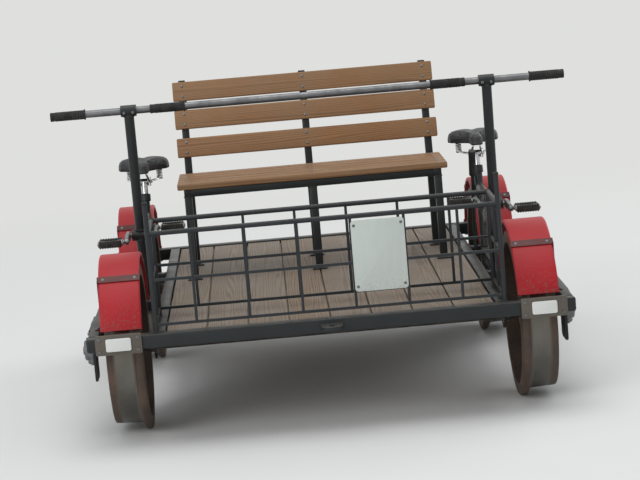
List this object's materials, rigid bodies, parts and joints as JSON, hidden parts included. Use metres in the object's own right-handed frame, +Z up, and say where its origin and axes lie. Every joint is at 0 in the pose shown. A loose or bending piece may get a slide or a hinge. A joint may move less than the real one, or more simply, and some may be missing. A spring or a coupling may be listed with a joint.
{
  "type": "pedal-driven railway handcar",
  "caption": "Pedal-driven railway handcar for several riders, with a planked deck, a slatted bench, a saddle over each rail, one long handlebar and a luggage basket in front.",
  "frame": {"origin": "on the floor plane under the middle of the car, at the height of the wheel flange tips", "axes": "+X to the right seen from the front, -Y towards the front, +Z up"},
  "size_m": [1.98, 2.3318, 1.18],
  "materials": {
    "frame_paint": "dark green-black satin enamel on welded steel tube",
    "bearing_grey": "grey painted cast bearing housings",
    "guard_paint": "dark satin enamel on steel plate",
    "wheel_steel": "bare rolled steel, brown on the disc and bright on the tread",
    "axle_steel": "dull bare steel bar",
    "red_plastic": "red moulded sheet, faded and dusty",
    "strap_paint": "dark red enamel on flat bar",
    "plate_grey": "worn grey enamel",
    "lens_white": "white moulded reflector lens",
    "lens_red": "red moulded reflector lens",
    "basket_paint": "dark grey enamel on wire and tube",
    "sign_white": "pale coated aluminium sheet, blank",
    "deck_wood": "weathered softwood boards",
    "bench_wood": "oiled hardwood slats",
    "chrome": "polished chrome plate",
    "crank_steel": "satin steel",
    "ring_steel": "oiled steel with dark teeth gaps",
    "chain_steel": "oiled roller chain",
    "black_vinyl": "black grained saddle cover",
    "grip_rubber": "black ribbed rubber",
    "pedal_rubber": "black pedal rubber in steel ends",
    "bar_steel": "galvanised steel tube",
    "shoe_block": "hard brown-black friction block"
  },
  "bodies": {
    "root": {"frame_sill_right": "frame_paint", "frame_sill_left": "frame_paint", "frame_beam_front": "frame_paint", "frame_beam_rear": "frame_paint", "centre_frame": "frame_paint", "deck_boards": "deck_wood", "axle_guards": "guard_paint", "axle_bearings": "bearing_grey", "mudguard_straps": "strap_paint", "basket_frame": "basket_paint", "sign_plate": "sign_white", "handlebar": "bar_steel", "hand_grips": "grip_rubber", "bench_frame": "frame_paint", "bench_seat_slats": "bench_wood", "bench_back_slats": "bench_wood", "brake_shaft": "frame_paint", "brake_hangers": "frame_paint", "brake_shoes": "shoe_block", "brake_lever": "frame_paint", "end_plates_front": "plate_grey", "reflectors_front": "lens_white", "mudguard_front_right": "red_plastic", "mudguard_front_left": "red_plastic", "end_plates_rear": "plate_grey", "reflectors_rear": "lens_red", "mudguard_rear_right": "red_plastic", "mudguard_rear_left": "red_plastic", "pedal_frame_right": "frame_paint", "saddle_post_right": "chrome", "saddle_right": "black_vinyl", "chain_right": "chain_steel", "pedal_frame_left": "frame_paint", "saddle_post_left": "chrome", "saddle_left": "black_vinyl", "chain_left": "chain_steel"},
    "wheelset_front": {"axle_front": "axle_steel", "wheel_front_right": "wheel_steel", "wheel_front_left": "wheel_steel", "drive_sprockets": "ring_steel"},
    "wheelset_rear": {"axle_rear": "axle_steel", "wheel_rear_right": "wheel_steel", "wheel_rear_left": "wheel_steel"},
    "crank_right": {"crankset_right": "crank_steel", "chainring_right": "ring_steel"},
    "pedal_right_outer": {"pedal_right_outer": "pedal_rubber"},
    "pedal_right_inner": {"pedal_right_inner": "pedal_rubber"},
    "crank_left": {"crankset_left": "crank_steel", "chainring_left": "ring_steel"},
    "pedal_left_outer": {"pedal_left_outer": "pedal_rubber"},
    "pedal_left_inner": {"pedal_left_inner": "pedal_rubber"}
  },
  "joints": [
    {"name": "wheels_front", "type": "hinge", "parent": "root", "child": "wheelset_front", "pos_m": [0, -0.7, 0.307], "axis": [1, 0, 0], "continuous": true},
    {"name": "wheels_rear", "type": "hinge", "parent": "root", "child": "wheelset_rear", "pos_m": [0, 0.7, 0.307], "axis": [1, 0, 0], "continuous": true},
    {"name": "crank_right", "type": "hinge", "parent": "root", "child": "crank_right", "pos_m": [0.69, -0.21565, 0.655], "axis": [1, 0, 0], "continuous": true},
    {"name": "pedal_right_outer", "type": "hinge", "parent": "crank_right", "child": "pedal_right_outer", "pos_m": [0.798, -0.38565, 0.655], "axis": [1, 0, 0], "continuous": true},
    {"name": "pedal_right_inner", "type": "hinge", "parent": "crank_right", "child": "pedal_right_inner", "pos_m": [0.571, -0.04565, 0.655], "axis": [1, 0, 0], "continuous": true},
    {"name": "crank_left", "type": "hinge", "parent": "root", "child": "crank_left", "pos_m": [-0.69, -0.21565, 0.655], "axis": [1, 0, 0], "continuous": true},
    {"name": "pedal_left_outer", "type": "hinge", "parent": "crank_left", "child": "pedal_left_outer", "pos_m": [-0.798, -0.38565, 0.655], "axis": [1, 0, 0], "continuous": true},
    {"name": "pedal_left_inner", "type": "hinge", "parent": "crank_left", "child": "pedal_left_inner", "pos_m": [-0.571, -0.04565, 0.655], "axis": [1, 0, 0], "continuous": true}
  ]
}
